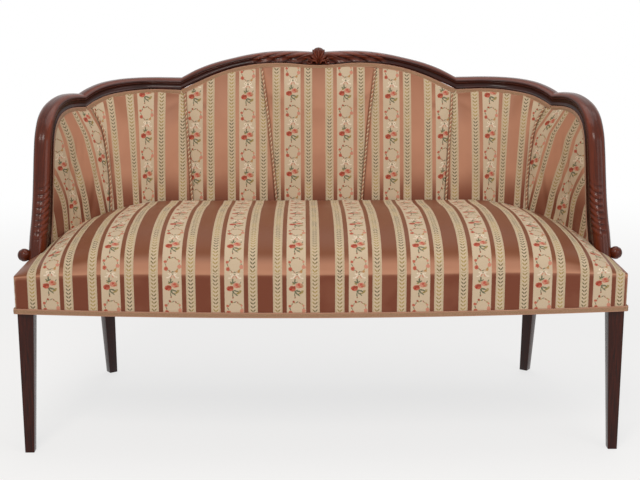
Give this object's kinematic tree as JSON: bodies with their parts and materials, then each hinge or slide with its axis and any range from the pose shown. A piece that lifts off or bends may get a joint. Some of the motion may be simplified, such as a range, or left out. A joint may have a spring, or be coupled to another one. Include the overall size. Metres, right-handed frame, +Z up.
{
  "type": "settee",
  "caption": "Camelback settee: a carved show-wood frame round a channelled, padded back and wings, a crowned sprung seat and square tapered legs.",
  "frame": {"origin": "on the floor, below the middle of the outside box", "axes": "+Z up, +Y towards the back, +X towards the right side seen from the front"},
  "size_m": [1.3388, 0.6094, 0.838],
  "materials": {
    "show_wood": "dark mahogany stain, polished",
    "frame_wood": "plain beech",
    "striped_fabric": "striped brocade",
    "braid": "woven braid",
    "rope_cord": "twisted cord",
    "burlap": "coarse weave",
    "webbing": "jute webbing",
    "dust_cloth": "thin cloth",
    "spring_steel": "drawn wire"
  },
  "bodies": {
    "root": {"back_burlap": "burlap", "back_gimp": "braid", "centre_back_pad": "striped_fabric", "corner_blocks": "frame_wood", "crest_dowels": "frame_wood", "crest_rail": "show_wood", "dust_cover": "dust_cloth", "front_seat_rail": "frame_wood", "left_arm_rail": "show_wood", "left_back_pad": "striped_fabric", "left_front_leg": "show_wood", "left_inner_back_pad": "striped_fabric", "left_inner_upright": "frame_wood", "left_outside_wing_cover": "striped_fabric", "left_rear_post": "show_wood", "left_seat_rail": "frame_wood", "left_shoulder_rail": "show_wood", "left_tacking_rail": "frame_wood", "left_wing_burlap": "burlap", "left_wing_pad": "striped_fabric", "middle_tacking_rail": "frame_wood", "outside_back_cover": "striped_fabric", "rear_seat_rail": "frame_wood", "right_arm_rail": "show_wood", "right_back_pad": "striped_fabric", "right_front_leg": "show_wood", "right_inner_back_pad": "striped_fabric", "right_inner_upright": "frame_wood", "right_outside_wing_cover": "striped_fabric", "right_rear_post": "show_wood", "right_seat_rail": "frame_wood", "right_shoulder_rail": "show_wood", "right_tacking_rail": "frame_wood", "right_wing_burlap": "burlap", "right_wing_pad": "striped_fabric", "seam_cords": "rope_cord", "seat_brace": "frame_wood", "seat_burlap": "burlap", "seat_gimp": "braid", "seat_pad": "striped_fabric", "seat_springs": "spring_steel", "seat_webbing": "webbing"}
  },
  "joints": []
}
